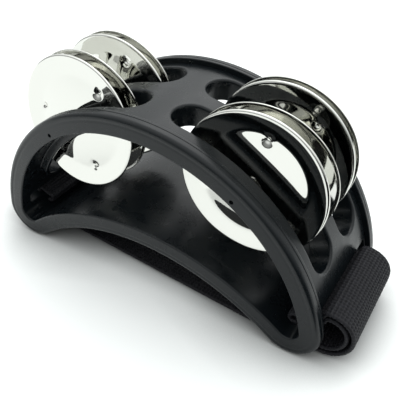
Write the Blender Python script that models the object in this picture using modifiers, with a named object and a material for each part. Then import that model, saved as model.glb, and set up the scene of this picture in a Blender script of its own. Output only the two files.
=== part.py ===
"""Foot tambourine: a moulded crescent frame, two steel pins, eight jingles and an elastic strap.

Metres, +Z up. X runs across the width and Y from the front ring (-Y) to the back ring (+Y).
The origin is on the floor plane, at the middle of the width and of the depth.
"""

import math

import bmesh
import bpy
from mathutils import Matrix

MM = 0.001
SHARP_ANGLE = math.radians(35.0)

# Crescent outline of the frame: a big outer arc, two round tips and a hollow arch between them.
OUTER_RADIUS = 65.75 * MM
TIP_RADIUS = 10.5 * MM
TIP_ANGLE = math.radians(80.5)
ARCH_RADIUS = 76.0 * MM
ARC_STEP = math.radians(4.0)
TIP_STEP = math.radians(13.0)

# Front and back rings, and the recessed wall between them.
DEPTH = 50.4 * MM
RING_THICKNESS = 4.2 * MM
RING_WIDTH = 6.8 * MM
RING_EDGE_ROUND = 0.9 * MM
WALL_RECESS = 2.0 * MM
WALL_INSIDE_RING = 1.5 * MM
CUT_MARGIN = 5.0 * MM

# Slots that the jingles stand in: two rows, each with one slot on either side. Each slot has a
# skirt round it that reaches into the tunnel.
SLOT_WIDTH = 12.7 * MM
SLOT_ROWS = {"front": -8.85 * MM, "back": 11.05 * MM}
SLOT_START = math.radians(4.6)
SLOT_END = math.radians(68)
SLOT_END_STATIONS = 6
SLOT_STEPS = 7
SKIRT_STEPS = 9
SKIRT_THICKNESS = 1.6 * MM
SKIRT_END_RADIUS = 55.8 * MM

# Strap openings, just above each tip.
STRAP_OPENING_START = math.radians(76.3)
STRAP_OPENING_END = math.radians(80.7)
STRAP_OPENING_DEPTH = 41.2 * MM
STRAP_OPENING_REACH = 5.9 * MM

# Steel pins across the slots, each in three holes.
PIN_X = 34.0 * MM
PIN_ARC_RADIUS = 60.85 * MM
PIN_RADIUS = 1.0 * MM
PIN_CLEARANCE = 0.3 * MM
PIN_STOP_DEPTH = 1.2 * MM
PIN_STOP_HOLE_RADIUS = 0.7 * MM
PIN_RECESS = 0.6 * MM
PIN_CHAMFER = 0.25 * MM
PIN_STEPS = 16

# Jingles: pressed discs with a low dome, a loose centre hole, a dished band and a turned-over rim.
JINGLE_RADIUS = 23.7 * MM
JINGLE_SHEET = 0.5 * MM
JINGLE_HOLE_RADIUS = 3.1 * MM
JINGLE_HANG = 1.8 * MM
JINGLE_STEPS = 32
DOME_RADIUS = 16.75 * MM
DOME_HEIGHT = 1.45 * MM
DISH_DEPTH = 1.25 * MM
DOME_STEPS = 3
RIM_WIDTH = 1.1 * MM
RIM_DROP = 0.6 * MM

# Each jingle: depth behind the front face (mm), tilt about X and about Z (degrees), side its dome faces.
JINGLES = {
    "jingle_left_1": (-1, 13.0, -5.5, -1.0, -1),
    "jingle_left_2": (-1, 20.5, 1.0, 1.0, 1),
    "jingle_left_3": (-1, 34.5, 0.0, 1.0, -1),
    "jingle_left_4": (-1, 39.0, 0.4, 0.7, 1),
    "jingle_right_1": (1, 11.9, -2.4, 1.6, -1),
    "jingle_right_2": (1, 20.0, 4.0, 2.5, 1),
    "jingle_right_3": (1, 32.4, -1.3, -0.6, -1),
    "jingle_right_4": (1, 37.2, 1.5, -1.4, 1),
}

# Elastic strap: one layer under the arch, two layers sewn together round each tip.
STRAP_WIDTH = 34.6 * MM
STRAP_SINGLE = 1.5 * MM
STRAP_DOUBLE = 3.3 * MM
STRAP_FLOOR_GAP = 0.2 * MM
STRAP_SKEW = 3.0 * MM
STRAP_SKEW_X = 42.0 * MM
STRAP_FLAT_OVERRUN = 2.0 * MM
STRAP_LEAD_IN = 1.0 * MM
LOOP_CENTRE = (64.9 * MM, 9.9 * MM)
LOOP_HALF_WIDTH = 7.8 * MM
LOOP_HALF_HEIGHT = 7.9 * MM
LOOP_LEAN = 0.10
LOOP_STEP = math.radians(15.0)
LOOP_FIRST = math.radians(-80.0)
LOOP_LAST = math.radians(100.0)
HEM_RADIUS = 3.0 * MM
HEM_RISE = 0.35 * MM
HEM_STEP = math.radians(30.0)
HEM_TRIM = math.radians(12.0)

SIDES = ((-1, "left"), (1, "right"))

# Derived places.
FRONT_Y = -DEPTH / 2
TIP_X = (OUTER_RADIUS - TIP_RADIUS) * math.sin(TIP_ANGLE)
TIP_Z = TIP_RADIUS
ARC_Z = TIP_Z - (OUTER_RADIUS - TIP_RADIUS) * math.cos(TIP_ANGLE)
ARCH_Z = TIP_Z - math.sqrt((ARCH_RADIUS + TIP_RADIUS) ** 2 - TIP_X**2)
WALL_OUTER = OUTER_RADIUS - WALL_RECESS
WALL_INNER = OUTER_RADIUS - RING_WIDTH
WALL_MIDDLE = (WALL_OUTER + WALL_INNER) / 2
PIN_Z = ARC_Z + math.sqrt(PIN_ARC_RADIUS**2 - PIN_X**2)
JINGLE_Z = PIN_Z - JINGLE_HANG


def clear_scene():
    for obj in list(bpy.data.objects):
        bpy.data.objects.remove(obj, do_unlink=True)


def new_collection(name):
    collection = bpy.data.collections.new(name)
    bpy.context.scene.collection.children.link(collection)
    return collection


def make_material(name, color, roughness, metallic):
    material = bpy.data.materials.new(name)
    material.use_nodes = True
    shader = material.node_tree.nodes["Principled BSDF"]
    shader.inputs["Base Color"].default_value = (*color, 1.0)
    shader.inputs["Roughness"].default_value = roughness
    shader.inputs["Metallic"].default_value = metallic
    return material


def arc(centre, radius, start, end, step):
    """Points (x, z) along an arc. Angles run from +Z towards +X."""
    count = max(2, round(abs(end - start) / step))
    points = []
    for i in range(count + 1):
        angle = start + (end - start) * i / count
        points.append((centre[0] + radius * math.sin(angle), centre[1] + radius * math.cos(angle)))
    return points


def crescent(inset):
    """Closed outline (x, z) of the crescent, moved inwards by inset all round."""
    tip_end = math.atan2(-TIP_X, ARCH_Z - TIP_Z) + 2 * math.pi
    arch_half = math.atan2(TIP_X, TIP_Z - ARCH_Z)
    crown = arc((0, ARC_Z), OUTER_RADIUS - inset, -TIP_ANGLE, TIP_ANGLE, ARC_STEP)
    right_tip = arc((TIP_X, TIP_Z), TIP_RADIUS - inset, TIP_ANGLE, tip_end, TIP_STEP)
    arch = arc((0, ARCH_Z), ARCH_RADIUS + inset, arch_half, -arch_half, ARC_STEP)
    left_tip = [(-x, z) for x, z in reversed(right_tip)]
    return crown + right_tip[1:] + arch[1:] + left_tip[1:-1]


def plate(name, outline, thickness, y, edge_round=0.0):
    """A flat plate with this outline in the XZ plane, centred on y, as a mesh object."""
    curve = bpy.data.curves.new(name, "CURVE")
    curve.dimensions = "2D"
    curve.fill_mode = "BOTH"
    curve.extrude = thickness / 2 - edge_round
    curve.bevel_depth = edge_round
    curve.bevel_resolution = 1
    curve.offset = -edge_round
    spline = curve.splines.new("POLY")
    spline.points.add(len(outline) - 1)
    for point, (x, z) in zip(spline.points, outline):
        point.co = (x, z, 0.0, 1.0)
    spline.use_cyclic_u = True
    guide = bpy.data.objects.new(name + "_curve", curve)
    bpy.context.scene.collection.objects.link(guide)
    guide.rotation_euler = (math.pi / 2, 0, 0)
    guide.location = (0, y, 0)
    bpy.context.view_layer.update()
    evaluated = guide.evaluated_get(bpy.context.evaluated_depsgraph_get())
    mesh = bpy.data.meshes.new_from_object(evaluated)
    mesh.transform(guide.matrix_world)
    bpy.data.objects.remove(guide)
    return bpy.data.objects.new(name, close_mesh(mesh, name))


def close_mesh(mesh, name):
    """Welds a mesh's loose caps and turns its faces outwards."""
    work = bmesh.new()
    work.from_mesh(mesh)
    bmesh.ops.remove_doubles(work, verts=work.verts, dist=0.01 * MM)
    bmesh.ops.recalc_face_normals(work, faces=work.faces)
    work.to_mesh(mesh)
    work.free()
    mesh.name = name
    return shade(mesh)


def shade(mesh):
    """Shades a mesh smooth, apart from its sharp edges."""
    mesh.shade_smooth()
    mesh.set_sharp_from_angle(angle=SHARP_ANGLE)
    return mesh


def turned(name, profile, steps, closed):
    """A turned piece about its own Z axis, from a profile of (radius, height) points.

    A closed profile makes a ring, and an open one starts and ends on the axis.
    """
    mesh = bpy.data.meshes.new(name)
    edges = [(i, i + 1) for i in range(len(profile) - 1)]
    if closed:
        edges.append((len(profile) - 1, 0))
    mesh.from_pydata([(r, 0, h) for r, h in profile], edges, [])
    obj = bpy.data.objects.new(name, mesh)
    screw = obj.modifiers.new("Turn", "SCREW")
    screw.steps = steps
    screw.render_steps = steps
    screw.use_merge_vertices = True
    screw.merge_threshold = 0.00001
    screw.use_smooth_shade = True
    return obj


def bent_bar(name, start, end, width, radii, straight_steps=0):
    """A bar that follows the wall from angle start to end, between two radii.

    Its ends are round if it has straight steps between them, or else square.
    """
    middle_radius = sum(radii) / 2
    length = WALL_MIDDLE * (end - start)
    half = width / 2
    stations = [(0.0, half), (length, half)]
    if straight_steps:
        turns = [math.pi / 2 * (k + 0.5) / (SLOT_END_STATIONS + 0.5) for k in range(SLOT_END_STATIONS + 1)]
        near = [(half * (1 - math.cos(t)), half * math.sin(t)) for t in turns]
        straight_step = (length - width) / straight_steps
        straight = [(half + straight_step * i, half) for i in range(1, straight_steps)]
        stations = near + straight + [(length - s, h) for s, h in reversed(near)]
    work = bmesh.new()
    previous = None
    for distance, half_width in stations:
        angle = start + distance / WALL_MIDDLE
        x = middle_radius * math.sin(angle)
        z = ARC_Z + middle_radius * math.cos(angle)
        pair = [work.verts.new((x, side * half_width, z)) for side in (-1, 1)]
        if previous:
            work.faces.new((previous[0], previous[1], pair[1], pair[0]))
        previous = pair
    mesh = bpy.data.meshes.new(name)
    work.to_mesh(mesh)
    work.free()
    obj = bpy.data.objects.new(name, mesh)
    thick = obj.modifiers.new("Thick", "SOLIDIFY")
    thick.thickness = radii[1] - radii[0]
    thick.offset = 0.0
    return obj


def as_cutter(obj, collection):
    collection.objects.link(obj)
    obj.hide_render = True
    obj.display_type = "WIRE"
    return obj


def boolean(obj, other, operation):
    modifier = obj.modifiers.new(other.name, "BOOLEAN")
    modifier.operation = operation
    modifier.solver = "EXACT"
    modifier.object = other


def apply_modifiers(obj):
    """Replaces an object's mesh with the one that its modifiers make."""
    bpy.context.view_layer.update()
    evaluated = obj.evaluated_get(bpy.context.evaluated_depsgraph_get())
    obj.data = shade(bpy.data.meshes.new_from_object(evaluated))
    obj.modifiers.clear()


def pin_hole(name, side):
    """Stepped hole for a pin: a small stop hole in the front ring, then the pin's running hole."""
    bore = PIN_RADIUS + PIN_CLEARANCE
    stop = DEPTH / 2 - PIN_STOP_DEPTH
    outside = DEPTH / 2 + CUT_MARGIN
    profile = [
        (0.0, outside),
        (PIN_STOP_HOLE_RADIUS, outside),
        (PIN_STOP_HOLE_RADIUS, stop),
        (bore, stop),
        (bore, -outside),
        (0.0, -outside),
    ]
    hole = turned(name, profile, PIN_STEPS, closed=False)
    hole.rotation_euler = (math.pi / 2, 0, 0)
    hole.location = (side * PIN_X, 0, PIN_Z)
    return hole


def side_span(side, start, end):
    """The angles of a stretch of wall on the left (side -1) or the right (side 1), lowest first."""
    return sorted((side * start, side * end))


def add_skirt(frame, cutters, name, side, row_y):
    """The skirt round one slot, inside the tunnel."""
    grow = SKIRT_THICKNESS / WALL_MIDDLE
    start, end = side_span(side, SLOT_START - grow, SLOT_END + grow)
    radii = (SKIRT_END_RADIUS, WALL_MIDDLE)
    skirt = bent_bar(name, start, end, SLOT_WIDTH + 2 * SKIRT_THICKNESS, radii, SKIRT_STEPS)
    skirt.location = (0, row_y, 0)
    boolean(frame, as_cutter(skirt, cutters), "UNION")


def cut_slot(frame, cutters, name, side, row_y):
    """A slot through the wall and its skirt."""
    start, end = side_span(side, SLOT_START, SLOT_END)
    radii = (SKIRT_END_RADIUS - CUT_MARGIN, OUTER_RADIUS + CUT_MARGIN)
    slot = bent_bar(name, start, end, SLOT_WIDTH, radii, SLOT_STEPS)
    slot.location = (0, row_y, 0)
    boolean(frame, as_cutter(slot, cutters), "DIFFERENCE")


def cut_strap_opening(frame, cutters, name, side):
    """A square-ended opening through the wall, just above a tip."""
    start, end = side_span(side, STRAP_OPENING_START, STRAP_OPENING_END)
    radii = (WALL_MIDDLE - STRAP_OPENING_REACH, WALL_MIDDLE + STRAP_OPENING_REACH)
    opening = bent_bar(name, start, end, STRAP_OPENING_DEPTH, radii)
    boolean(frame, as_cutter(opening, cutters), "DIFFERENCE")


def build_frame(parts, cutters, material):
    """The one-piece moulded crescent: two rings, the recessed wall, its slots and their skirts."""
    wall_depth = DEPTH - 2 * WALL_INSIDE_RING
    frame = plate("frame_shell", crescent(WALL_RECESS), wall_depth, 0.0)
    parts.objects.link(frame)
    ring_y = DEPTH / 2 - RING_THICKNESS / 2
    for label, y in (("front", -ring_y), ("back", ring_y)):
        ring = plate("ring_" + label, crescent(0.0), RING_THICKNESS, y, RING_EDGE_ROUND)
        boolean(frame, as_cutter(ring, cutters), "UNION")
    tunnel = plate("tunnel", crescent(RING_WIDTH), DEPTH + CUT_MARGIN, 0.0)
    boolean(frame, as_cutter(tunnel, cutters), "DIFFERENCE")
    for side, side_name in SIDES:
        for row_name, row_y in SLOT_ROWS.items():
            add_skirt(frame, cutters, "skirt_" + side_name + "_" + row_name, side, row_y)
    for side, side_name in SIDES:
        for row_name, row_y in SLOT_ROWS.items():
            cut_slot(frame, cutters, "slot_" + side_name + "_" + row_name, side, row_y)
        cut_strap_opening(frame, cutters, "strap_opening_" + side_name, side)
        boolean(frame, as_cutter(pin_hole("pin_hole_" + side_name, side), cutters), "DIFFERENCE")
    apply_modifiers(frame)
    frame.data.materials.append(material)


def build_pin(side, side_name, parts, material):
    """A plain steel rod along Y, a little short of both faces of the frame."""
    front = DEPTH / 2 - PIN_STOP_DEPTH - PIN_CLEARANCE
    back = DEPTH / 2 - PIN_RECESS
    profile = [
        (0.0, front),
        (PIN_RADIUS - PIN_CHAMFER, front),
        (PIN_RADIUS, front - PIN_CHAMFER),
        (PIN_RADIUS, PIN_CHAMFER - back),
        (PIN_RADIUS - PIN_CHAMFER, -back),
        (0.0, -back),
    ]
    pin = turned("jingle_pin_" + side_name, profile, PIN_STEPS, closed=False)
    pin.rotation_euler = (math.pi / 2, 0, 0)
    pin.location = (side * PIN_X, 0, PIN_Z)
    pin.data.materials.append(material)
    parts.objects.link(pin)


def sheet_height(radius):
    """Height of the middle of the pressed sheet: a low dome, then a dish that rises to the rim."""
    if radius < DOME_RADIUS:
        return DOME_HEIGHT * (1 - (radius / DOME_RADIUS) ** 2) - DISH_DEPTH
    rim_start = JINGLE_RADIUS - RIM_WIDTH
    return DISH_DEPTH * (radius - rim_start) / (rim_start - DOME_RADIUS)


def jingle_profile():
    """Closed section (radius, height) of a jingle, from the hole over the domed face and back."""
    half = JINGLE_SHEET / 2
    dome_step = (DOME_RADIUS - JINGLE_HOLE_RADIUS) / DOME_STEPS
    radii = [JINGLE_HOLE_RADIUS + dome_step * i for i in range(DOME_STEPS + 1)]
    radii.append(JINGLE_RADIUS - RIM_WIDTH)
    top = [(r, sheet_height(r) + half) for r in radii]
    shoulder = (JINGLE_RADIUS - 0.3 * RIM_WIDTH, half - 0.35 * RIM_DROP)
    edge = (JINGLE_RADIUS, half - RIM_DROP)
    turned_lip = (JINGLE_RADIUS - 0.35 * RIM_WIDTH, -half - 0.4 * RIM_DROP)
    bottom = [(r, sheet_height(r) - half) for r in reversed(radii)]
    return top + [shoulder, edge, turned_lip] + bottom


def build_jingles(parts, material):
    """Eight jingles on the two pins. The domes of a pair face away from each other."""
    for name, (side, depth, tilt_x, tilt_z, facing) in JINGLES.items():
        jingle = turned(name, jingle_profile(), JINGLE_STEPS, closed=True)
        tilt = Matrix.Rotation(math.radians(tilt_z), 4, "Z") @ Matrix.Rotation(math.radians(tilt_x), 4, "X")
        stand = Matrix.Rotation(-facing * math.pi / 2, 4, "X")
        place = Matrix.Translation((side * PIN_X, FRONT_Y + depth * MM, JINGLE_Z))
        jingle.matrix_world = place @ tilt @ stand
        jingle.data.materials.append(material)
        parts.objects.link(jingle)


def strap_line():
    """Centre line (x, z, half thickness) of the strap's right half, from the middle to the hem."""
    single = STRAP_SINGLE / 2
    double = STRAP_DOUBLE / 2
    floor = STRAP_FLOOR_GAP + single
    line = [(0.0, floor, single), (STRAP_SKEW_X, floor, single), (TIP_X + STRAP_FLAT_OVERRUN, floor, single)]
    count = round((LOOP_LAST - LOOP_FIRST) / LOOP_STEP)
    for i in range(count + 1):
        turn = LOOP_FIRST + (LOOP_LAST - LOOP_FIRST) * i / count
        rise = LOOP_HALF_HEIGHT * math.sin(turn)
        x = LOOP_CENTRE[0] + LOOP_HALF_WIDTH * math.cos(turn) + LOOP_LEAN * rise
        line.append((x, LOOP_CENTRE[1] + rise, double))
    slot_angle = (STRAP_OPENING_START + STRAP_OPENING_END) / 2
    for radius in (WALL_OUTER + STRAP_LEAD_IN, WALL_INNER):
        line.append((radius * math.sin(slot_angle), ARC_Z + radius * math.cos(slot_angle), double))
    return line


def thick_outline(line):
    """The two sides of a ribbon round a centre line, each from the line's start to its end."""
    left = []
    right = []
    for i, (x, z, half) in enumerate(line):
        before = line[max(i - 1, 0)]
        after = line[min(i + 1, len(line) - 1)]
        run = (after[0] - before[0], after[1] - before[1])
        length = math.hypot(*run)
        normal = (-run[1] / length, run[0] / length)
        left.append((x + normal[0] * half, z + normal[1] * half))
        right.append((x - normal[0] * half, z - normal[1] * half))
    return left, right


def hem(start, end, side):
    """Arc of the rolled hem that closes one end of the strap, in the narrow end of the tunnel."""
    centre = (side * TIP_X, TIP_Z + HEM_RISE)
    first = math.atan2(start[0] - centre[0], start[1] - centre[1])
    last = math.atan2(end[0] - centre[0], end[1] - centre[1])
    turn = (last - first) % (2 * math.pi)
    return arc(centre, HEM_RADIUS, first + HEM_TRIM, first + turn - HEM_TRIM, HEM_STEP)


def skew(x):
    """The strap lies askew: its right end is forward and its left end back."""
    return -STRAP_SKEW * max(-1.0, min(1.0, x / STRAP_SKEW_X))


def build_strap(parts, material):
    """The elastic strap, under the arch and round both tips."""
    right_half = strap_line()
    left_half = [(-x, z, half) for x, z, half in reversed(right_half[1:])]
    left, right = thick_outline(left_half + right_half)
    right_hem = hem(left[-1], right[-1], 1)
    left_hem = hem(right[0], left[0], -1)
    outline = left + right_hem + list(reversed(right)) + left_hem
    strap = plate("foot_strap", outline, STRAP_WIDTH, 0.0)
    for vertex in strap.data.vertices:
        vertex.co.y += skew(vertex.co.x)
    strap.data.materials.append(material)
    parts.objects.link(strap)


def main():
    clear_scene()
    parts = new_collection("foot_tambourine")
    cutters = new_collection("cutters")
    plastic = make_material("black_plastic", (0.022, 0.024, 0.027), 0.38, 0.0)
    polished = make_material("polished_steel", (0.86, 0.86, 0.84), 0.06, 1.0)
    steel = make_material("pin_steel", (0.62, 0.62, 0.60), 0.25, 1.0)
    elastic = make_material("black_elastic", (0.020, 0.020, 0.022), 0.85, 0.0)
    build_frame(parts, cutters, plastic)
    for side, side_name in SIDES:
        build_pin(side, side_name, parts, steel)
    build_jingles(parts, polished)
    build_strap(parts, elastic)


main()
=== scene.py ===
"""Foot tambourine: the fine surface, finishes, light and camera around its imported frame.

Metres, +Z up. X runs across the width, the front ring faces -Y, and the object stands on Z = 0.
"""

import math

import bmesh
import bpy
import numpy as np
from mathutils import Matrix, Vector
from mathutils.geometry import delaunay_2d_cdt


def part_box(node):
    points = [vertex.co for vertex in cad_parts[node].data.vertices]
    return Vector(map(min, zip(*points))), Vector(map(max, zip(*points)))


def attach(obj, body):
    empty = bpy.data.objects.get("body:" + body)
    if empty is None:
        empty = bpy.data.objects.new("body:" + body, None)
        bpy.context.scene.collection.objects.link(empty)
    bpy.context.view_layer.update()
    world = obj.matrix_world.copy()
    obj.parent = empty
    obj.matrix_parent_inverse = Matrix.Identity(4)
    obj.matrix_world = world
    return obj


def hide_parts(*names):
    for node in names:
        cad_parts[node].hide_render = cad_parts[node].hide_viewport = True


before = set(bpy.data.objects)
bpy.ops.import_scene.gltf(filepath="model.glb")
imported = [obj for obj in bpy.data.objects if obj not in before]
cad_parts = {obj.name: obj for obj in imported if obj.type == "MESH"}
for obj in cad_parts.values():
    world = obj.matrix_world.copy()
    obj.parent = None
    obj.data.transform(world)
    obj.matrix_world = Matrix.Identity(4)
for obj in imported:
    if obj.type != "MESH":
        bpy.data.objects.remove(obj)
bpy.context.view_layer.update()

MM = 0.001
WELD_DISTANCE = 1e-6
SAME_POINT = 1e-7
# Tolerance of the wall's triangulation, which works in millimetres.
TRIANGULATION_TOLERANCE = 1e-6
SHELL_LOW, SHELL_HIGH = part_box("frame_shell")

# Crescent outline of the moulded frame: outer arc, two round tips and the hollow arch between them.
OUTER_RADIUS = 65.75 * MM
TIP_RADIUS = 10.5 * MM
TIP_ANGLE = math.radians(80.5)
ARCH_RADIUS = 76.0 * MM
TIP_X = SHELL_HIGH.x - TIP_RADIUS
TIP_Z = SHELL_LOW.z + TIP_RADIUS
ARC_Z = SHELL_HIGH.z - OUTER_RADIUS
ARCH_Z = TIP_Z - math.sqrt((ARCH_RADIUS + TIP_RADIUS) ** 2 - TIP_X**2)
HALF_DEPTH = SHELL_HIGH.y

# Insets, measured inwards from the crescent outline.
WALL_RECESS = 2.0 * MM
RING_WIDTH = 6.8 * MM
WALL_MIDDLE = OUTER_RADIUS - (WALL_RECESS + RING_WIDTH) / 2
TIP_MIDDLE = TIP_RADIUS - (WALL_RECESS + RING_WIDTH) / 2
CROWN_LENGTH = WALL_MIDDLE * TIP_ANGLE
RING_THICKNESS = 4.2 * MM
FLANGE_Y = HALF_DEPTH - RING_THICKNESS
FRAME_SHARP_ANGLE = math.radians(38)

# Points along the outline and across the wall.
CROWN_STATIONS = 43
OPENING_STATIONS = 3
TIP_STATIONS = 22
ARCH_STATIONS = 44
WALL_ROWS = 20

# Section of a ring: its rounded edges, the fine line round its rim and the groove in its face. The line's
# points are (inset, distance from the line's middle) and the groove's are (distance from the front round,
# share of the groove's depth), with insets and distances in millimetres.
RING_REAR_ROUND = 0.35 * MM
RING_FRONT_ROUND = 1.5 * MM
RING_BORE_ROUND = 0.6 * MM
RIM_LINE_HEIGHT = 1.35 * MM
RIM_LINE = ((0.0, -0.30), (0.0, -0.20), (0.14, -0.11), (0.14, 0.11), (0.0, 0.20), (0.0, 0.30))
GROOVE_DEPTH = 0.09 * MM
GROOVE = ((0.25, 0.0), (0.55, 1.0), (1.0, 1.0), (1.35, 0.0), (1.6, 0.0))
# Narrow flat strips beside the rounded edges, which keep the shading of the flats even.
WALL_SUPPORT = 0.12 * MM
REAR_SUPPORT = 0.1 * MM
FACE_SUPPORT = 0.25 * MM
BORE_SUPPORT = 0.3 * MM

# Slots and strap openings in the wall.
SLOT_HALF_WIDTH = 6.35 * MM
SLOT_ROWS = (-8.85 * MM, 11.05 * MM)
SLOT_START = math.radians(4.6) * WALL_MIDDLE
SLOT_END = math.radians(68.0) * WALL_MIDDLE
SLOT_RIM = 0.9 * MM
SLOT_INNER_RIM = 0.5 * MM
SKIRT_THICKNESS = 1.6 * MM
SKIRT_END = OUTER_RADIUS - 55.8 * MM
SKIRT_FOOT = 0.5 * MM
SKIRT_SUPPORT = 0.2 * MM
FOOT_SUPPORT = 0.1 * MM
OPENING_START = math.radians(76.3) * WALL_MIDDLE
OPENING_END = math.radians(80.7) * WALL_MIDDLE
OPENING_HALF_DEPTH = 20.6 * MM
OPENING_CORNER = 0.8 * MM
OPENING_RIM = 0.25 * MM
OPENING_SUPPORT = 0.1 * MM
RIM_STEPS = 6
CORNER_STEP = 0.7 * MM
EDGE_STEP = 1.6 * MM
HOLE_MARGIN = 0.7 * MM

# The crown wall's slotted stretch ends a little past the strap openings, at this distance from the middle.
PATCH_END = 87.2 * MM
# Flat strip left between a slot's rounded rim and the wall.
SUPPORT = 0.35 * MM

# Holes for the pins: wide enough for the pin up to its front end, then a narrower one to the front face.
PIN_HOLE_RADIUS = 1.3 * MM
PIN_STOP_HOLE_RADIUS = 0.7 * MM
PIN_END_SPACE = 0.3 * MM
PIN_STOP_OVERLAP = 1.0 * MM
BORE_OVERRUN = 5.0 * MM
BORE_STEPS = 28

# Jingles: pressed discs with a low dome, a loose centre hole, a dished band, a rolled rim and
# three dimples at the foot of the dome.
JINGLE_RADIUS = 23.7 * MM
JINGLE_SHEET = 0.5 * MM
JINGLE_HOLE = 3.1 * MM
DOME_RADIUS = 17.2 * MM
DOME_HEIGHT = 1.55 * MM
DISH_DEPTH = 1.25 * MM
DOME_FOOT_BLEND = 0.12 * MM
RIM_WIDTH = 0.7 * MM
RIM_DROP = 0.55 * MM
CAD_RIM_WIDTH = 1.1 * MM
DIMPLE_RING = 16.1 * MM
DIMPLE_RADIUS = 2.6 * MM
DIMPLE_DEPTH = 0.42 * MM
PUNCH_RADIUS = 0.95 * MM
PUNCH_DEPTH = 0.28 * MM
LIP_RADIUS = 0.22 * MM
HOLE_EDGE = 0.15 * MM
HOLE_CHAMFER = 0.12 * MM
# Arcs of the rim and of the lip under it: first and last angle in degrees, and steps.
RIM_ARC = (78, 0, 7)
LIP_ARC = (-20, -160, 5)
# How the CAD disc's hole and rim points are told from the rest.
HOLE_MATCH = 1.1
RIM_MATCH = 0.05 * MM
JINGLE_TURN_STEPS = 300
DOME_RINGS = 20
DIMPLE_RINGS = 20
BAND_RINGS = 9
JINGLE_SHARP_ANGLE = math.radians(50)

# Direction of each jingle's first dimple in degrees; the other two follow at thirds of a turn.
FIRST_DIMPLES = {
    "jingle_left_1": 53.0,
    "jingle_left_2": 15.0,
    "jingle_left_3": 70.0,
    "jingle_left_4": 100.0,
    "jingle_right_1": 77.0,
    "jingle_right_2": 20.0,
    "jingle_right_3": 50.0,
    "jingle_right_4": 95.0,
}

# Pins.
PIN_CHAMFER = 0.25 * MM
PIN_TURN_STEPS = 32
PIN_SHARP_ANGLE = math.radians(30)

# Elastic strap.
STRAP_WIDTH = 34.6 * MM
LAYER = 1.4 * MM
LAYER_GAP = 0.3 * MM
LINING_SLACK = 0.5 * MM
STRAP_SINGLE = 1.5 * MM
STRAP_SKEW = 3.0 * MM
STRAP_SKEW_X = 42.0 * MM
STRAP_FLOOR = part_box("foot_strap")[0].z
LOOP_CENTRE = (64.9 * MM, 9.9 * MM)
LOOP_HALF_WIDTH = 7.8 * MM
LOOP_HALF_HEIGHT = 7.9 * MM
LOOP_LEAN = 0.10
LOOP_FIRST = -80
LOOP_SWEEP = 180
LOOP_STEPS = 36
# The strap goes in through its opening on a line from above the wall's middle to below it.
OPENING_ABOVE = 2.6 * MM
OPENING_BELOW = 1.0 * MM
CHORD_MIDDLE_X = 40.0 * MM
LINING_START = (TIP_X + 1.0 * MM, STRAP_FLOOR + STRAP_SINGLE + 0.9 * MM)
HEM_CENTRE = (TIP_X, TIP_Z + 0.35 * MM)
HEM_RADIUS = 1.6 * MM
HEM_DEGREES = range(75, 330, 15)
SMOOTHING_PASSES = 3
STRAP_EDGE_ROUND = 0.8 * MM
STRAP_EDGE_THICKNESS = 0.45
STRAP_EDGE_WEAVE = 0.35
STRAP_SHARP_ANGLE = math.radians(80)
YARN = 1.25 * MM
WEAVE_STEP = YARN / 5
WEAVE_DEPTH = 0.62 * MM
WEAVE_CRIMP = 0.08 * MM
YARN_TAPER = 2.0

# Colours and finishes.
PLASTIC_BLACK = (0.0038, 0.0055, 0.0068)
PLASTIC_SPECK = (0.05, 0.055, 0.055)
JINGLE_STEEL = (0.66, 0.66, 0.625)
INSIDE_ROUGHNESS = 0.06
OUTSIDE_ROUGHNESS = 0.035
PIN_STEEL = (0.55, 0.55, 0.53)
ELASTIC_DARK = (0.0026, 0.0026, 0.0042)
ELASTIC_LIGHT = (0.010, 0.010, 0.014)
PAPER_WHITE = (0.94, 0.95, 0.94)
# Black of the side card, which only reflections see: a painted dark reflection.
PAINTED_REFLECTION_BLACK = (0.01, 0.01, 0.01)

# Studio light: strength of the surroundings by direction, and of the plain backdrop the camera sees.
CEILING_LEVEL = 0.48
CEILING_UP = 1.45
CEILING_BACK = 0.42
CEILING_LEAST = 0.08
BACKDROP_LEVEL = 1.0
STUDIO_TINT = (0.97, 1.0, 1.0)

# The key light, in metres and watts.
KEY_PLACE = (-0.25, 0.85, 1.15)
KEY_TARGET = (0.0, 0.0, 0.03)
KEY_SIZE = 1.1
KEY_POWER = 4.0

# The floor, in metres, and how far and how deeply its colour is darkened close to the object, a painted
# contact shadow.
FLOOR_SIZE = 6.0
FLOOR_CELLS = 8
FLOOR_PAINTED_SHADOW_REACH = 20 * MM
FLOOR_PAINTED_SHADOW_LEAST = 0.10

# Corner of the black card nearest to the object, and how far the card reaches to the right and forward. The
# card is seen only in reflections, as a painted dark reflection.
SIDE_CARD = (72 * MM, -42 * MM)
CARD_REACH = 1.5
CARD_HEIGHT = 0.2 * MM

# Camera: place, direction from the object in degrees, roll in degrees, and lens and sensor in millimetres.
CAMERA_PLACE = (91.13 * MM, -130.69 * MM, 147.08 * MM)
CAMERA_AZIMUTH = 32.512
CAMERA_ELEVATION = 38.196
CAMERA_ROLL = -0.920
CAMERA_LENS = 50.13
CAMERA_SENSOR = 36.0
CAMERA_CLIP = (0.01, 20.0)


# ---------------------------------------------------------------- mesh helpers


def new_object(name, mesh):
    obj = bpy.data.objects.new(name, mesh)
    bpy.context.scene.collection.objects.link(obj)
    return obj


def mesh_from(name, points, faces, sharp_angle):
    """A mesh with its doubles welded, its faces turned outwards and only steep edges sharp."""
    mesh = bpy.data.meshes.new(name)
    mesh.from_pydata([tuple(p) for p in points], [], faces)
    work = bmesh.new()
    work.from_mesh(mesh)
    bmesh.ops.remove_doubles(work, verts=work.verts, dist=WELD_DISTANCE)
    bmesh.ops.recalc_face_normals(work, faces=work.faces)
    work.to_mesh(mesh)
    work.free()
    mesh.shade_smooth()
    mesh.set_sharp_from_angle(angle=sharp_angle)
    return mesh


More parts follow.
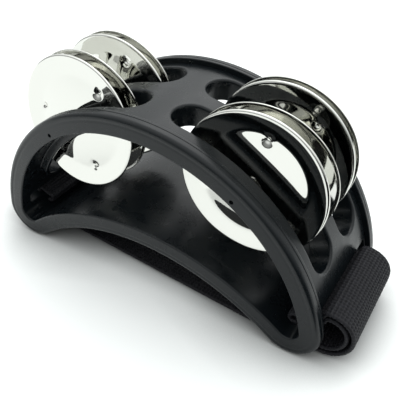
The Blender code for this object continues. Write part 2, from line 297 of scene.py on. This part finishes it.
def grid_faces(rows, columns, first=0, close_rows=False, close_columns=False):
    """Quads of a rows x columns grid of points that starts at index first."""
    faces = []
    for i in range(rows if close_rows else rows - 1):
        for j in range(columns if close_columns else columns - 1):
            a = first + i * columns + j
            b = first + i * columns + (j + 1) % columns
            c = first + ((i + 1) % rows) * columns + (j + 1) % columns
            d = first + ((i + 1) % rows) * columns + j
            faces.append((a, b, c, d))
    return faces


class Surface:
    """Gathers the points and faces of one mesh."""

    def __init__(self):
        self.points = []
        self.faces = []

    def add_grid(self, grid, close_rows=False, close_columns=False):
        first = len(self.points)
        rows, columns = len(grid), len(grid[0])
        for row in grid:
            self.points.extend(row)
        self.faces.extend(grid_faces(rows, columns, first, close_rows, close_columns))

    def add_triangles(self, points, triangles):
        first = len(self.points)
        self.points.extend(points)
        self.faces.extend(tuple(first + i for i in t) for t in triangles)


# ---------------------------------------------------------------- the moulded frame


def outline_stations():
    """Stations round the crescent: (centre x, centre z, radius, how radius grows with inset, angle)."""
    crown = patch_stations()
    stations = [station_at(s) for s in crown]
    tip_start = stations[-1][4]
    tip_end = math.atan2(-TIP_X, ARCH_Z - TIP_Z) + 2 * math.pi
    arch_half = math.atan2(TIP_X, TIP_Z - ARCH_Z)
    right_tip = np.linspace(tip_start, tip_end, TIP_STATIONS)[1:]
    for angle in right_tip:
        stations.append((TIP_X, TIP_Z, TIP_RADIUS, -1, angle))
    for angle in np.linspace(arch_half, -arch_half, ARCH_STATIONS)[1:]:
        stations.append((0.0, ARCH_Z, ARCH_RADIUS, 1, angle))
    for angle in right_tip[::-1][1:]:
        stations.append((-TIP_X, TIP_Z, TIP_RADIUS, -1, -angle))
    return stations, len(crown)


def patch_stations():
    """Distances along the middle of the crown wall, from the left strap opening to the right one."""
    crown = list(np.linspace(0.0, CROWN_LENGTH, CROWN_STATIONS))
    tip = list(np.linspace(CROWN_LENGTH, PATCH_END, OPENING_STATIONS))[1:]
    right = crown + tip
    return [-s for s in right[:0:-1]] + right


def station_at(s):
    """The station at distance s along the middle of the wall."""
    side = -1.0 if s < 0 else 1.0
    distance = abs(s)
    if distance <= CROWN_LENGTH:
        return (0.0, ARC_Z, OUTER_RADIUS, -1, side * distance / WALL_MIDDLE)
    angle = TIP_ANGLE + (distance - CROWN_LENGTH) / TIP_MIDDLE
    return (side * TIP_X, TIP_Z, TIP_RADIUS, -1, side * angle)


def section_point(station, inset, y):
    centre_x, centre_z, radius, grow, angle = station
    reach = radius + grow * inset
    return (centre_x + reach * math.sin(angle), y, centre_z + reach * math.cos(angle))


def arc(centre, radii, start, end, steps):
    """Points along an arc of an ellipse about a centre, from one angle in degrees to another."""
    points = []
    for i in range(steps + 1):
        turn = math.radians(start + (end - start) * i / steps)
        points.append((centre[0] + radii[0] * math.cos(turn), centre[1] + radii[1] * math.sin(turn)))
    return points


def ring_profile():
    """Section (inset, height above the wall's edge) of a ring, from the wall, over the rim, to the inside."""
    thick = HALF_DEPTH - FLANGE_Y
    rear, front, bore = RING_REAR_ROUND, RING_FRONT_ROUND, RING_BORE_ROUND
    profile = [(WALL_RECESS, 0.0), (WALL_RECESS - WALL_SUPPORT, 0.0), (rear + REAR_SUPPORT, 0.0)]
    profile += arc((rear, rear), (rear, rear), 270, 180, 4)
    profile += [(inset * MM, RIM_LINE_HEIGHT + away * MM) for inset, away in RIM_LINE]
    profile += arc((front, thick - front), (front, front), 180, 90, 8)
    profile += [(front + away * MM, thick - share * GROOVE_DEPTH) for away, share in GROOVE]
    profile += [(RING_WIDTH - bore - FACE_SUPPORT, thick)]
    profile += arc((RING_WIDTH - bore, thick - bore), (bore, bore), 90, 0, 4)
    profile += [(RING_WIDTH, thick - bore - BORE_SUPPORT), (RING_WIDTH, 0.0)]
    return profile


def rounded_loop(centre, half_length, half_width, corner):
    """Points (s, y) and outward normals of a rounded rectangle in the wall's developed plane."""
    steps = max(3, round(corner * math.pi / 2 / CORNER_STEP))
    points, normals = [], []
    corners = ((1, 1, 0), (-1, 1, 90), (-1, -1, 180), (1, -1, 270))
    for index, (sign_s, sign_y, start) in enumerate(corners):
        middle = (centre[0] + sign_s * (half_length - corner), centre[1] + sign_y * (half_width - corner))
        for i in range(steps + 1):
            turn = math.radians(start + 90 * i / steps)
            normal = (math.cos(turn), math.sin(turn))
            points.append((middle[0] + corner * normal[0], middle[1] + corner * normal[1]))
            normals.append(normal)
        following = corners[(index + 1) % 4]
        target = (
            centre[0] + following[0] * (half_length - corner) + corner * normal[0],
            centre[1] + following[1] * (half_width - corner) + corner * normal[1],
        )
        run = math.dist(points[-1], target)
        count = int(run / EDGE_STEP)
        last = points[-1]
        for i in range(1, count):
            share = i / count
            points.append(tuple(last[k] + (target[k] - last[k]) * share for k in (0, 1)))
            normals.append(normal)
    keep = [i for i in range(len(points)) if math.dist(points[i], points[i - 1]) > SAME_POINT]
    return [points[i] for i in keep], [normals[i] for i in keep]


def wall_holes():
    """The holes in the crown wall: centre, half length, half width, corner, and if it has a skirt."""
    holes = []
    slot_half = (SLOT_END - SLOT_START) / 2
    for side in (-1, 1):
        slot_middle = side * (SLOT_START + SLOT_END) / 2
        for row in SLOT_ROWS:
            holes.append(((slot_middle, row), slot_half, SLOT_HALF_WIDTH, SLOT_HALF_WIDTH, True))
        opening_middle = side * (OPENING_START + OPENING_END) / 2
        half = (OPENING_END - OPENING_START) / 2
        holes.append(((opening_middle, 0.0), half, OPENING_HALF_DEPTH, OPENING_CORNER, False))
    return holes


def hole_profile(skirted):
    """Section (offset from the edge, inset) of a hole's side, from the outer to the inner face."""
    outer = SLOT_RIM if skirted else OPENING_RIM
    inner = SLOT_INNER_RIM if skirted else OPENING_RIM
    support = SUPPORT if skirted else OPENING_SUPPORT
    end = SKIRT_END if skirted else RING_WIDTH
    quarter_turns = [math.pi / 2 * i / RIM_STEPS for i in range(RIM_STEPS + 1)]
    profile = [(outer + support, WALL_RECESS)]
    profile += [(outer * (1 - math.sin(t)), WALL_RECESS + outer * (1 - math.cos(t))) for t in quarter_turns]
    profile += [(0.0, WALL_RECESS + outer + support / 2), (0.0, end - inner - support / 2)]
    profile += [(inner * (1 - math.cos(t)), end - inner * (1 - math.sin(t))) for t in quarter_turns]
    if not skirted:
        return profile + [(inner + support, end)]
    outside, foot = SKIRT_THICKNESS, SKIRT_FOOT
    profile += [(outside - inner * (1 - math.sin(t)), end - inner * (1 - math.cos(t))) for t in quarter_turns]
    profile += [(outside, end - inner - SKIRT_SUPPORT), (outside, RING_WIDTH + foot + SKIRT_SUPPORT)]
    for t in quarter_turns:
        profile.append((outside + foot * (1 - math.cos(t)), RING_WIDTH + foot * (1 - math.sin(t))))
    return profile + [(outside + foot + FOOT_SUPPORT, RING_WIDTH)]


def inside_hole(point, hole, margin):
    """True if a point of the developed plane is within margin of a hole."""
    centre, half_s, half_y, corner, _ = hole
    away_s = abs(point[0] - centre[0]) - (half_s - corner)
    away_y = abs(point[1] - centre[1]) - (half_y - corner)
    outside = math.hypot(max(away_s, 0.0), max(away_y, 0.0)) + min(max(away_s, away_y), 0.0)
    return outside < corner + margin


def wall_patch(surface, inset, border_y, stations_s, holes):
    """One face of the crown wall, outer or inner, round its holes."""
    outer_face = inset == WALL_RECESS
    coords, edges = [], []

    def add_loop(loop):
        first = len(coords)
        coords.extend(loop)
        edges.extend((first + i, first + (i + 1) % len(loop)) for i in range(len(loop)))

    low, high = stations_s[0], stations_s[-1]
    border = [(s, border_y[0]) for s in stations_s]
    border += [(high, y) for y in border_y[1:]]
    border += [(s, border_y[-1]) for s in reversed(stations_s[:-1])]
    border += [(low, y) for y in reversed(border_y[1:-1])]
    add_loop(border)
    margins = []
    for hole in holes:
        profile = hole_profile(hole[4])
        reach = profile[0][0] if outer_face else profile[-1][0]
        margins.append(reach)
        loop, normals = rounded_loop(*hole[:4])
        add_loop([(p[0] + n[0] * reach, p[1] + n[1] * reach) for p, n in zip(loop, normals)])
    for s in stations_s[1:-1]:
        for y in border_y[1:-1]:
            clear = all(not inside_hole((s, y), h, m + HOLE_MARGIN) for h, m in zip(holes, margins))
            if clear:
                coords.append((s, y))
    scale = 1 / MM
    scaled = [Vector((s * scale, y * scale)) for s, y in coords]
    points, _, triangles, *_ = delaunay_2d_cdt(scaled, edges, [], 0, TRIANGULATION_TOLERANCE)
    flat = [(p.x / scale, p.y / scale) for p in points]
    kept = []
    for triangle in triangles:
        middle = tuple(sum(flat[i][k] for i in triangle) / 3 for k in (0, 1))
        if all(not inside_hole(middle, h, m) for h, m in zip(holes, margins)):
            kept.append(triangle)
    surface.add_triangles([section_point(station_at(s), inset, y) for s, y in flat], kept)


def hole_rim(surface, hole):
    """The inside of a hole, rounded over at both faces of the wall, with its skirt."""
    loop, normals = rounded_loop(*hole[:4])
    grid = []
    for offset, inset in hole_profile(hole[4]):
        row = []
        for point, normal in zip(loop, normals):
            s, y = point[0] + normal[0] * offset, point[1] + normal[1] * offset
            row.append(section_point(station_at(s), inset, y))
        grid.append(row)
    surface.add_grid(grid, close_columns=True)


def pin_bore(name, x, z, radius, start, end):
    """A round cutter along Y."""
    bpy.ops.mesh.primitive_cylinder_add(
        vertices=BORE_STEPS,
        radius=radius,
        depth=end - start,
        location=(x, (start + end) / 2, z),
        rotation=(math.pi / 2, 0, 0),
    )
    cutter = bpy.context.object
    cutter.name = name
    return cutter


def drill(obj, cutter):
    """Cuts the cutter's shape out of a mesh object and removes the cutter."""
    modifier = obj.modifiers.new("Bore", "BOOLEAN")
    modifier.operation = "DIFFERENCE"
    modifier.solver = "EXACT"
    modifier.object = cutter
    bpy.context.view_layer.update()
    cut = bpy.data.meshes.new_from_object(obj.evaluated_get(bpy.context.evaluated_depsgraph_get()))
    obj.modifiers.clear()
    obj.data = cut
    bpy.data.objects.remove(cutter)


def build_frame(material):
    """The one-piece moulding: two flanged rings joined by the slotted crown wall and the arch."""
    surface = Surface()
    stations, crown_count = outline_stations()
    stations_s = patch_stations()
    border_y = list(np.linspace(-FLANGE_Y, FLANGE_Y, WALL_ROWS))
    for side in (-1, 1):
        grid = []
        for station in stations:
            grid.append([section_point(station, i, side * (FLANGE_Y + h)) for i, h in ring_profile()])
        surface.add_grid(grid, close_rows=True)
    plain = stations[crown_count - 1 :] + stations[:1]
    for inset in (WALL_RECESS, RING_WIDTH):
        surface.add_grid([[section_point(station, inset, y) for y in border_y] for station in plain])
    holes = wall_holes()
    wall_patch(surface, WALL_RECESS, border_y, stations_s, holes)
    wall_patch(surface, RING_WIDTH, border_y, stations_s, holes)
    for hole in holes:
        hole_rim(surface, hole)
    mesh = mesh_from("moulded_frame", surface.points, surface.faces, FRAME_SHARP_ANGLE)
    frame_piece = new_object("moulded_frame", mesh)
    for side_name in ("left", "right"):
        low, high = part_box("jingle_pin_" + side_name)
        x, z = (low.x + high.x) / 2, (low.z + high.z) / 2
        through = pin_bore("bore", x, z, PIN_HOLE_RADIUS, low.y - PIN_END_SPACE, high.y + BORE_OVERRUN)
        drill(frame_piece, through)
        front = pin_bore("bore", x, z, PIN_STOP_HOLE_RADIUS, low.y - BORE_OVERRUN, low.y + PIN_STOP_OVERLAP)
        drill(frame_piece, front)
    frame_piece.data.shade_smooth()
    frame_piece.data.set_sharp_from_angle(angle=FRAME_SHARP_ANGLE)
    frame_piece.data.materials.clear()
    frame_piece.data.materials.append(material)
    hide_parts("frame_shell")
    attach(frame_piece, "frame")
    return frame_piece


# ---------------------------------------------------------------- jingles and pins


def jingle_axes(node):
    """Centre and axes of a jingle, from its CAD mesh: the third axis points to the side its dome faces."""
    points = np.array([v.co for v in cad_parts[node].data.vertices], float)
    centre = points.mean(0)
    _, _, axes = np.linalg.svd(points - centre)
    normal = axes[2]
    away = points - centre
    radii = np.linalg.norm(away - np.outer(away @ normal, normal), axis=1)
    hole = points[radii < JINGLE_HOLE * HOLE_MATCH].mean(0)
    rim = points[np.abs(radii - (JINGLE_RADIUS - CAD_RIM_WIDTH)) < RIM_MATCH].mean(0)
    if (hole - rim) @ normal < 0:
        normal = -normal
    across = np.cross((0.0, 0.0, 1.0), normal)
    across /= np.linalg.norm(across)
    if across[0] < 0:
        across = -across
    upright = np.cross(normal, across)
    turn = Matrix((across, upright, normal)).transposed().to_4x4()
    return Matrix.Translation(Vector(rim)) @ turn


def sheet_height(r):
    """Height of the middle of the pressed sheet above the rim: a low dome in a dished band."""
    dome = DOME_HEIGHT * (1 - (r / DOME_RADIUS) ** 2)
    band = DISH_DEPTH * (r - DOME_RADIUS) / (JINGLE_RADIUS - RIM_WIDTH - DOME_RADIUS)
    half_sum = (dome + band) / 2
    return half_sum + math.hypot((dome - band) / 2, DOME_FOOT_BLEND) - DISH_DEPTH


def jingle_section():
    """Closed section (radius, height) of a jingle, from the hole over the domed face to the rim and back."""
    half = JINGLE_SHEET / 2
    rim_start = JINGLE_RADIUS - RIM_WIDTH
    inner = JINGLE_HOLE + HOLE_EDGE
    dimple_start = DIMPLE_RING - DIMPLE_RADIUS
    dimple_end = DIMPLE_RING + DIMPLE_RADIUS
    sheet = list(np.linspace(inner, dimple_start, DOME_RINGS))
    sheet += list(np.linspace(dimple_start, dimple_end, DIMPLE_RINGS))[1:]
    sheet += list(np.linspace(dimple_end, rim_start, BAND_RINGS))[1:]
    top = [(r, sheet_height(r) + half) for r in sheet]
    rim_level = top[-1][1]
    rim = arc((rim_start, rim_level - RIM_DROP), (RIM_WIDTH, RIM_DROP), *RIM_ARC)
    edge_level = rim_level - RIM_DROP
    rim += arc((JINGLE_RADIUS - LIP_RADIUS, edge_level), (LIP_RADIUS, LIP_RADIUS), *LIP_ARC)
    under = [(r, sheet_height(r) - half) for r in reversed(sheet)]
    under[0] = (rim_start, rim_level - 2 * half)
    hole_level = sheet_height(inner)
    straight = half - HOLE_CHAMFER
    hole = [(JINGLE_HOLE, hole_level - straight), (JINGLE_HOLE, hole_level + straight)]
    return top + rim + under + hole


def dimple(x, y, angles):
    """How far the sheet is pressed back at (x, y): a small round punch mark in each wider dimple."""
    depth = 0.0
    for angle in angles:
        away = math.hypot(x - DIMPLE_RING * math.cos(angle), y - DIMPLE_RING * math.sin(angle))
        if away < DIMPLE_RADIUS:
            depth += DIMPLE_DEPTH * (1 - (away / DIMPLE_RADIUS) ** 2) ** 2
        if away < PUNCH_RADIUS:
            depth += PUNCH_DEPTH * (1 - (away / PUNCH_RADIUS) ** 4)
    return depth


def build_jingle(node, first_dimple, material):
    """A pressed disc with three dimples, standing as its CAD solid stands."""
    section = jingle_section()
    angles = [math.radians(first_dimple + 120 * k) for k in range(3)]
    grid = []
    for i in range(JINGLE_TURN_STEPS):
        turn = 2 * math.pi * i / JINGLE_TURN_STEPS
        cosine, sine = math.cos(turn), math.sin(turn)
        row = []
        for r, h in section:
            x, y = r * cosine, r * sine
            near = abs(r - DIMPLE_RING) < DIMPLE_RADIUS
            row.append((x, y, h - (dimple(x, y, angles) if near else 0.0)))
        grid.append(row)
    surface = Surface()
    surface.add_grid(grid, close_rows=True, close_columns=True)
    mesh = mesh_from(node + "_disc", surface.points, surface.faces, JINGLE_SHARP_ANGLE)
    piece = new_object(node + "_disc", mesh)
    piece.matrix_world = jingle_axes(node)
    mesh.materials.append(material)
    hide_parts(node)
    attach(piece, node)
    return piece


def build_pin(side_name, material):
    """A round steel pin with chamfered ends."""
    node = "jingle_pin_" + side_name
    low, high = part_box(node)
    radius = (high.x - low.x) / 2
    length = high.y - low.y
    profile = [(0.0, 0.0), (radius - PIN_CHAMFER, 0.0), (radius, PIN_CHAMFER), (radius, length / 2)]
    profile += [(r, length - h) for r, h in reversed(profile)]
    grid = []
    for i in range(PIN_TURN_STEPS):
        turn = 2 * math.pi * i / PIN_TURN_STEPS
        grid.append([(r * math.cos(turn), h, r * math.sin(turn)) for r, h in profile])
    surface = Surface()
    surface.add_grid(grid, close_rows=True)
    mesh = mesh_from(node + "_rod", surface.points, surface.faces, PIN_SHARP_ANGLE)
    piece = new_object(node + "_rod", mesh)
    piece.location = ((low.x + high.x) / 2, low.y, (low.z + high.z) / 2)
    mesh.materials.append(material)
    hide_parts(node)
    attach(piece, "pin_" + side_name)
    return piece


# ---------------------------------------------------------------- strap


def strap_loop(outward):
    """Right loop of a strap layer (x, z), from the floor to its opening, moved out from the middle line."""
    path = []
    for i in range(LOOP_STEPS + 1):
        turn = math.radians(LOOP_FIRST + LOOP_SWEEP * i / LOOP_STEPS)
        rise = LOOP_HALF_HEIGHT * math.sin(turn)
        x = LOOP_CENTRE[0] + LOOP_HALF_WIDTH * math.cos(turn) + LOOP_LEAN * rise
        normal = Vector((math.cos(turn) / LOOP_HALF_WIDTH, math.sin(turn) / LOOP_HALF_HEIGHT)).normalized()
        path.append((x + normal.x * outward, LOOP_CENTRE[1] + rise + normal.y * outward))
    slot_angle = (OPENING_START + OPENING_END) / 2 / WALL_MIDDLE
    across = Vector((math.cos(slot_angle), -math.sin(slot_angle)))
    for radius in (WALL_MIDDLE + OPENING_ABOVE, WALL_MIDDLE - OPENING_BELOW):
        x, z = radius * math.sin(slot_angle), ARC_Z + radius * math.cos(slot_angle)
        path.append((x - across.x * outward, z - across.y * outward))
    return path


def resample(path, step):
    """Points at equal steps along the path, after its corners are cut at quarter points."""
    points = np.array(path, float)
    for _ in range(SMOOTHING_PASSES):
        finer = [points[0]]
        for a, b in zip(points[:-1], points[1:]):
            finer.append(a * 0.75 + b * 0.25)
            finer.append(a * 0.25 + b * 0.75)
        finer.append(points[-1])
        points = np.array(finer)
    runs = np.linalg.norm(np.diff(points, axis=0), axis=1)
    total = np.concatenate(([0.0], np.cumsum(runs)))
    count = max(2, round(total[-1] / step))
    wanted = np.linspace(0.0, total[-1], count + 1)
    return np.stack([np.interp(wanted, total, points[:, k]) for k in (0, 1)], axis=1)


def weave(u, v):
    """Height of a plain weave of round yarns, down in the gaps between them."""
    i, j = u / YARN, v / YARN
    sign = np.where((np.floor(i) + np.floor(j)) % 2 == 0, 1.0, -1.0)
    along = np.abs(np.sin(np.pi * i)) ** YARN_TAPER
    across = np.abs(np.sin(np.pi * j)) ** YARN_TAPER
    warp = WEAVE_DEPTH * (across - 1) + WEAVE_CRIMP * sign * np.abs(np.sin(np.pi * i))
    weft = WEAVE_DEPTH * (along - 1) - WEAVE_CRIMP * sign * np.abs(np.sin(np.pi * j))
    return np.maximum(warp, weft)


def ribbon(name, path, thickness, step, material, outward_sign):
    """A woven ribbon along a path in the XZ plane, STRAP_WIDTH wide along Y."""
    line = resample(path, step)
    tangent = np.gradient(line, axis=0)
    tangent /= np.linalg.norm(tangent, axis=1)[:, None]
    normal = np.stack([tangent[:, 1], -tangent[:, 0]], axis=1) * outward_sign
    columns = int(round(STRAP_WIDTH / step))
    across = np.linspace(-STRAP_WIDTH / 2, STRAP_WIDTH / 2, columns + 1)
    length = np.arange(len(line)) * step
    edge = np.clip((STRAP_WIDTH / 2 - np.abs(across)) / STRAP_EDGE_ROUND, 0.0, 1.0)
    round_off = np.sqrt(1 - (1 - edge) ** 2)
    grid = []
    for k, (point, n) in enumerate(zip(line, normal)):
        shift = -STRAP_SKEW * max(-1.0, min(1.0, point[0] / STRAP_SKEW_X))
        bump = weave(np.full_like(across, length[k]), across + STRAP_WIDTH / 2)
        half = thickness / 2 * (STRAP_EDGE_THICKNESS + (1 - STRAP_EDGE_THICKNESS) * round_off)
        top = half + bump * (STRAP_EDGE_WEAVE + (1 - STRAP_EDGE_WEAVE) * edge)
        face = [(point[0] + n[0] * h, y + shift, point[1] + n[1] * h) for h, y in zip(top, across)]
        back = [(point[0] - n[0] * h, y + shift, point[1] - n[1] * h) for h, y in zip(top, across)]
        grid.append(face + back[::-1])
    surface = Surface()
    surface.add_grid(grid, close_columns=True)
    size = len(grid[0])
    for row in (0, len(grid) - 1):
        first = row * size
        for j in range(size // 2 - 1):
            surface.faces.append((first + j, first + j + 1, first + size - 2 - j, first + size - 1 - j))
    mesh = mesh_from(name, surface.points, surface.faces, STRAP_SHARP_ANGLE)
    piece = new_object(name, mesh)
    mesh.materials.append(material)
    return piece


def build_strap(material):
    """Outer layer: hem, loop, chord, loop, hem in one piece. Inner layer: a second ply in each loop."""
    shift = (LAYER + LAYER_GAP) / 2
    level = STRAP_FLOOR + STRAP_SINGLE / 2
    hem = []
    for degrees in HEM_DEGREES:
        turn = math.radians(degrees)
        hem.append((HEM_CENTRE[0] + HEM_RADIUS * math.cos(turn), HEM_CENTRE[1] + HEM_RADIUS * math.sin(turn)))
    right = [(0.0, level), (CHORD_MIDDLE_X, level), (TIP_X, level)] + strap_loop(shift) + hem
    left = [(-x, z) for x, z in reversed(right[1:])]
    outer = ribbon("strap_webbing", left + right, LAYER, WEAVE_STEP, material, 1)
    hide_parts("foot_strap")
    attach(outer, "frame")
    for side, side_name in ((-1, "left"), (1, "right")):
        path = [(side * x, z) for x, z in [LINING_START] + strap_loop(-shift - LINING_SLACK)]
        piece = ribbon("strap_lining_" + side_name, path, LAYER, WEAVE_STEP, material, side)
        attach(piece, "frame")


# ---------------------------------------------------------------- materials


class Nodes:
    """A material's node tree, with short calls for the nodes used here."""

    def __init__(self, name):
        self.material = bpy.data.materials.new(name)
        self.material.use_nodes = True
        self.tree = self.material.node_tree
        self.shader = self.tree.nodes["Principled BSDF"]
        self.position = self.tree.nodes.new("ShaderNodeTexCoord").outputs["Object"]

    def link(self, source, target):
        self.tree.links.new(source, target)

    def color(self, color):
        self.shader.inputs["Base Color"].default_value = (*color, 1.0)

    def set(self, **values):
        for name, value in values.items():
            self.shader.inputs[name.replace("_", " ")].default_value = value

    def noise(self, scale, detail=2.0, roughness=0.5):
        node = self.tree.nodes.new("ShaderNodeTexNoise")
        node.inputs["Scale"].default_value = scale
        node.inputs["Detail"].default_value = detail
        node.inputs["Roughness"].default_value = roughness
        self.link(self.position, node.inputs["Vector"])
        return node.outputs["Fac"]

    def voronoi(self, scale):
        node = self.tree.nodes.new("ShaderNodeTexVoronoi")
        node.inputs["Scale"].default_value = scale
        self.link(self.position, node.inputs["Vector"])
        return node.outputs["Distance"]

    def remap(self, value, from_min, from_max, to_min, to_max):
        node = self.tree.nodes.new("ShaderNodeMapRange")
        node.inputs["From Min"].default_value = from_min
        node.inputs["From Max"].default_value = from_max
        node.inputs["To Min"].default_value = to_min
        node.inputs["To Max"].default_value = to_max
        self.link(value, node.inputs["Value"])
        return node.outputs["Result"]

    def mix(self, factor, a, b):
        node = self.tree.nodes.new("ShaderNodeMix")
        node.data_type = "RGBA"
        self.link(factor, node.inputs["Factor"])
        node.inputs["A"].default_value = (*a, 1.0)
        node.inputs["B"].default_value = (*b, 1.0)
        return node.outputs["Result"]

    def bump(self, height, strength, distance):
        node = self.tree.nodes.new("ShaderNodeBump")
        node.inputs["Strength"].default_value = strength
        node.inputs["Distance"].default_value = distance
        self.link(height, node.inputs["Height"])
        self.link(node.outputs["Normal"], self.shader.inputs["Normal"])


def moulded_plastic():
    """Black satin plastic with a fine grain and a few faint specks."""
    nodes = Nodes("black_moulded_plastic")
    specks = nodes.remap(nodes.voronoi(260.0), 0.0, 0.05, 1.0, 0.0)
    nodes.link(nodes.mix(specks, PLASTIC_BLACK, PLASTIC_SPECK), nodes.shader.inputs["Base Color"])
    nodes.link(nodes.remap(nodes.noise(220.0, 4.0), 0.3, 0.7, 0.24, 0.33), nodes.shader.inputs["Roughness"])
    nodes.set(Specular_IOR_Level=0.26)
    nodes.bump(nodes.noise(2600.0, 3.0), 0.05, 0.0002)
    return nodes.material


def mirror_steel():
    """Polished steel, a little less polished on the inside, which faces along the disc's own -Z."""
    nodes = Nodes("polished_steel")
    nodes.set(Metallic=1.0)
    nodes.color(JINGLE_STEEL)
    facing = nodes.tree.nodes.new("ShaderNodeSeparateXYZ")
    nodes.link(nodes.tree.nodes.new("ShaderNodeTexCoord").outputs["Normal"], facing.inputs["Vector"])
    roughness = nodes.remap(facing.outputs["Z"], -0.5, -0.2, INSIDE_ROUGHNESS, OUTSIDE_ROUGHNESS)
    nodes.link(roughness, nodes.shader.inputs["Roughness"])
    nodes.bump(nodes.noise(75.0, 1.0), 0.10, 0.001)
    return nodes.material


def pin_steel():
    """Drawn steel wire."""
    nodes = Nodes("drawn_steel")
    nodes.set(Metallic=1.0)
    nodes.color(PIN_STEEL)
    nodes.link(nodes.remap(nodes.noise(900.0, 3.0), 0.3, 0.7, 0.2, 0.35), nodes.shader.inputs["Roughness"])
    return nodes.material


def elastic_webbing():
    """Dull black yarn. The weave itself is in the strap's mesh."""
    nodes = Nodes("black_elastic")
    shade = nodes.remap(nodes.noise(1500.0, 3.0), 0.35, 0.7, 0.0, 1.0)
    nodes.link(nodes.mix(shade, ELASTIC_DARK, ELASTIC_LIGHT), nodes.shader.inputs["Base Color"])
    nodes.set(Roughness=0.6, Specular_IOR_Level=0.25, Sheen_Weight=0.02)
    nodes.bump(nodes.noise(6000.0, 2.0), 0.4, 0.0002)
    return nodes.material


# ---------------------------------------------------------------- stage, light and camera


def build_floor():
    """A white floor whose colour is darkened close to the object: a painted contact shadow."""
    bpy.ops.mesh.primitive_grid_add(x_subdivisions=FLOOR_CELLS, y_subdivisions=FLOOR_CELLS, size=FLOOR_SIZE)
    floor = bpy.context.object
    floor.name = "floor"
    nodes = Nodes("white_paper_painted_shadow")
    # Painted shadow: ambient occlusion darkens the floor's base colour within reach of the object.
    near = nodes.tree.nodes.new("ShaderNodeAmbientOcclusion")
    near.inputs["Distance"].default_value = FLOOR_PAINTED_SHADOW_REACH
    shade = nodes.remap(near.outputs["AO"], 0.0, 1.0, FLOOR_PAINTED_SHADOW_LEAST, 1.0)
    nodes.link(nodes.mix(shade, (0.0, 0.0, 0.0), PAPER_WHITE), nodes.shader.inputs["Base Color"])
    nodes.set(Roughness=0.9)
    floor.data.materials.append(nodes.material)


def build_side_card():
    """A black card on the floor, right of the front and outside the picture, seen only in reflections: a
    painted dark reflection in the polished faces.
    """
    x, y = SIDE_CARD
    corners = ((x, -CARD_REACH), (x, y), (CARD_REACH, y), (CARD_REACH, -CARD_REACH))
    mesh = bpy.data.meshes.new("side_card")
    mesh.from_pydata([(x, y, CARD_HEIGHT) for x, y in corners], [], [(0, 1, 2, 3)])
    card = new_object("side_card", mesh)
    nodes = Nodes("painted_reflection_card")
    nodes.color(PAINTED_REFLECTION_BLACK)
    nodes.set(Roughness=0.9, Specular_IOR_Level=0.0)
    mesh.materials.append(nodes.material)
    # Painted dark reflection: the card is hidden from the camera, from diffuse light and from shadows.
    card.visible_camera = False
    card.visible_diffuse = False
    card.visible_shadow = False


def build_key():
    """One soft white disc of light from behind the left side."""
    data = bpy.data.lights.new("key", "AREA")
    data.shape = "DISK"
    data.size = KEY_SIZE
    data.energy = KEY_POWER
    light = bpy.data.objects.new("key", data)
    bpy.context.scene.collection.objects.link(light)
    light.location = KEY_PLACE
    light.rotation_euler = (Vector(KEY_TARGET) - Vector(KEY_PLACE)).to_track_quat("-Z", "Y").to_euler()


def build_surroundings():
    """A bright ceiling that falls off towards the front. The camera itself sees a plain white backdrop."""
    world = bpy.data.worlds.new("studio")
    world.use_nodes = True
    tree = world.node_tree
    background = tree.nodes["Background"]
    background.inputs["Color"].default_value = (*STUDIO_TINT, 1.0)
    direction = tree.nodes.new("ShaderNodeTexCoord").outputs["Generated"]
    slope = tree.nodes.new("ShaderNodeVectorMath")
    slope.operation = "DOT_PRODUCT"
    slope.inputs[1].default_value = (0.0, CEILING_BACK, CEILING_UP)
    tree.links.new(direction, slope.inputs[0])
    level = tree.nodes.new("ShaderNodeMath")
    level.operation = "ADD"
    level.inputs[1].default_value = CEILING_LEVEL
    tree.links.new(slope.outputs["Value"], level.inputs[0])
    least_level = tree.nodes.new("ShaderNodeMath")
    least_level.operation = "MAXIMUM"
    least_level.inputs[1].default_value = CEILING_LEAST
    tree.links.new(level.outputs[0], least_level.inputs[0])
    seen = tree.nodes.new("ShaderNodeMix")
    seen.inputs["B"].default_value = BACKDROP_LEVEL
    tree.links.new(tree.nodes.new("ShaderNodeLightPath").outputs["Is Camera Ray"], seen.inputs["Factor"])
    tree.links.new(least_level.outputs[0], seen.inputs["A"])
    tree.links.new(seen.outputs["Result"], background.inputs["Strength"])
    bpy.context.scene.world = world


def build_camera():
    """Camera on the object's right, looking down at it from in front."""
    azimuth, elevation, roll = (math.radians(a) for a in (CAMERA_AZIMUTH, CAMERA_ELEVATION, CAMERA_ROLL))
    level = math.cos(elevation)
    back = Vector((math.sin(azimuth) * level, -math.cos(azimuth) * level, math.sin(elevation)))
    right = Vector((math.cos(azimuth), math.sin(azimuth), 0.0))
    up = back.cross(right)
    rolled_right = math.cos(roll) * right + math.sin(roll) * up
    rolled_up = math.cos(roll) * up - math.sin(roll) * right
    data = bpy.data.cameras.new("camera")
    data.lens = CAMERA_LENS
    data.sensor_width = CAMERA_SENSOR
    data.clip_start, data.clip_end = CAMERA_CLIP
    camera = bpy.data.objects.new("camera", data)
    bpy.context.scene.collection.objects.link(camera)
    turn = Matrix((rolled_right, rolled_up, back)).transposed().to_4x4()
    camera.matrix_world = Matrix.Translation(CAMERA_PLACE) @ turn
    bpy.context.scene.camera = camera


plastic = moulded_plastic()
polished = mirror_steel()
steel = pin_steel()
webbing = elastic_webbing()
build_frame(plastic)
for side in ("left", "right"):
    build_pin(side, steel)
for jingle, first in FIRST_DIMPLES.items():
    build_jingle(jingle, first, polished)
build_strap(webbing)
build_floor()
build_side_card()
build_surroundings()
build_key()
build_camera()
bpy.context.scene.view_settings.view_transform = "Standard"
